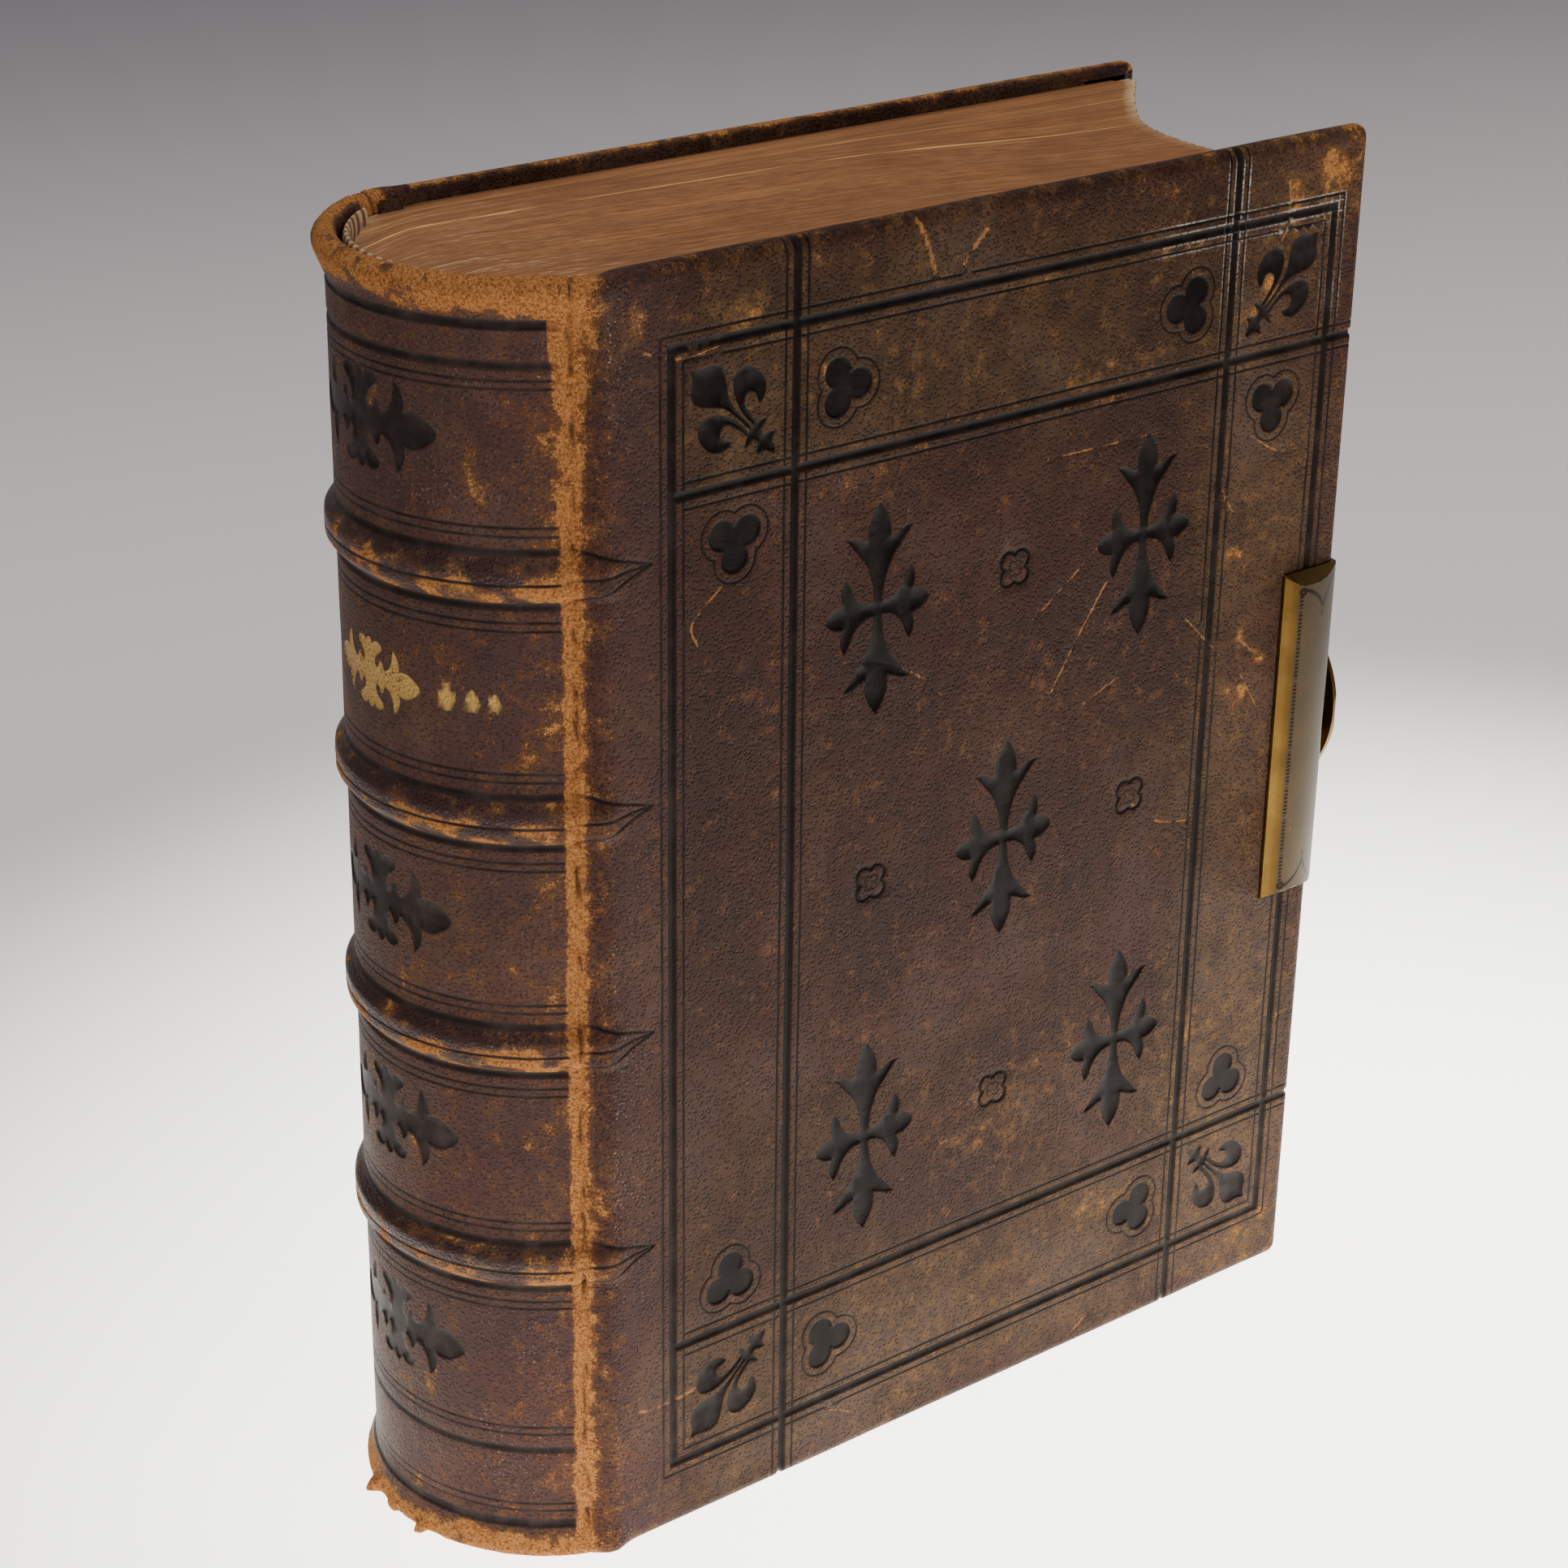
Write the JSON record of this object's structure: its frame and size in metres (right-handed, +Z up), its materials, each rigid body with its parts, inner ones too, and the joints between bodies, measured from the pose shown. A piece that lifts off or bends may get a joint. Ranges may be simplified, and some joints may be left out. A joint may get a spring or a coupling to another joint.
{
  "type": "bible",
  "caption": "Large leather-bound family Bible with raised spine bands, blind-tooled covers that open, turning endleaves and a hinged brass fore-edge clasp.",
  "frame": {"origin": "centre of the whole book's box, on the floor that the covers' tail edges stand on", "axes": "+Z up from tail to head, +X from the spine to the fore-edge, -Y out of the front cover"},
  "size_m": [0.2692, 0.0964, 0.318],
  "materials": {
    "leaves": "gilt, burnished edges over cream paper",
    "loose_leaf": "matt, aged",
    "endpaper": "matt, aged",
    "hemp": "twisted cord",
    "linen": "open weave, glued",
    "kraft_paper": "matt",
    "card": "matt",
    "board": "dense millboard",
    "leather": "pebbled grain, blind tooled, rubbed tan at edges",
    "endband_thread": "striped silk over a core",
    "brass": "satin, lightly tarnished",
    "brass_pins": "satin"
  },
  "bodies": {
    "book_block": {"old_testament_gatherings": "leaves", "new_testament_gatherings": "leaves", "sewing_cords": "hemp", "kettle_stitches": "hemp", "spine_lining": "linen", "hollow_tube": "kraft_paper", "spine_card": "card", "raised_band_strips": "card", "spine_leather": "leather", "head_band": "endband_thread", "tail_band": "endband_thread", "cap_cords": "hemp"},
    "front_cover": {"front_board": "board", "front_cover_leather": "leather", "front_pastedown": "endpaper", "catch_plate": "brass", "catch_plate_pins": "brass_pins", "catch_block": "brass_pins", "catch_stud": "brass_pins"},
    "back_cover": {"back_board": "board", "back_cover_leather": "leather", "back_pastedown": "endpaper", "hinge_plate": "brass", "hinge_plate_pins": "brass_pins", "hinge_pin": "brass_pins"},
    "clasp_arm": {"hasp": "brass"},
    "front_flyleaf": {"front_flyleaf": "endpaper"},
    "frontispiece": {"frontispiece_leaf": "loose_leaf"},
    "title_page": {"title_leaf": "loose_leaf"},
    "rear_flyleaf": {"rear_flyleaf": "endpaper"},
    "last_page": {"last_leaf": "loose_leaf"}
  },
  "joints": [
    {"name": "front_cover_hinge", "type": "hinge", "parent": "book_block", "child": "front_cover", "pos_m": [-0.1049, -0.0425, 0], "axis": [0, 0, -1], "range_deg": [0, 175]},
    {"name": "back_cover_hinge", "type": "hinge", "parent": "book_block", "child": "back_cover", "pos_m": [-0.1049, 0.0442, 0], "axis": [0, 0, 1], "range_deg": [0, 175]},
    {"name": "hasp_hinge", "type": "hinge", "parent": "back_cover", "child": "clasp_arm", "pos_m": [0.1324, 0.038, 0.161], "axis": [0, 0, 1], "range_deg": [-2, 170]},
    {"name": "flyleaf_turn", "type": "hinge", "parent": "book_block", "child": "front_flyleaf", "pos_m": [-0.0989, -0.03885, 0], "axis": [0, 0, -1], "range_deg": [0, 131.75]},
    {"name": "frontispiece_turn", "type": "hinge", "parent": "book_block", "child": "frontispiece", "pos_m": [-0.0989, -0.03825, 0], "axis": [0, 0, -1], "range_deg": [0, 105.5]},
    {"name": "title_leaf_turn", "type": "hinge", "parent": "book_block", "child": "title_page", "pos_m": [-0.0989, -0.03765, 0], "axis": [0, 0, -1], "range_deg": [0, 79.25]},
    {"name": "rear_flyleaf_turn", "type": "hinge", "parent": "book_block", "child": "rear_flyleaf", "pos_m": [-0.0989, 0.03885, 0], "axis": [0, 0, 1], "range_deg": [0, 114.25]},
    {"name": "last_leaf_turn", "type": "hinge", "parent": "book_block", "child": "last_page", "pos_m": [-0.0989, 0.03825, 0], "axis": [0, 0, 1], "range_deg": [0, 88]}
  ],
  "couplings": [
    {"joint": "flyleaf_turn", "follows": "front_cover_hinge", "ratio": 0.75},
    {"joint": "frontispiece_turn", "follows": "front_cover_hinge", "ratio": 0.6},
    {"joint": "title_leaf_turn", "follows": "front_cover_hinge", "ratio": 0.45},
    {"joint": "rear_flyleaf_turn", "follows": "back_cover_hinge", "ratio": 0.65},
    {"joint": "last_leaf_turn", "follows": "back_cover_hinge", "ratio": 0.5}
  ]
}
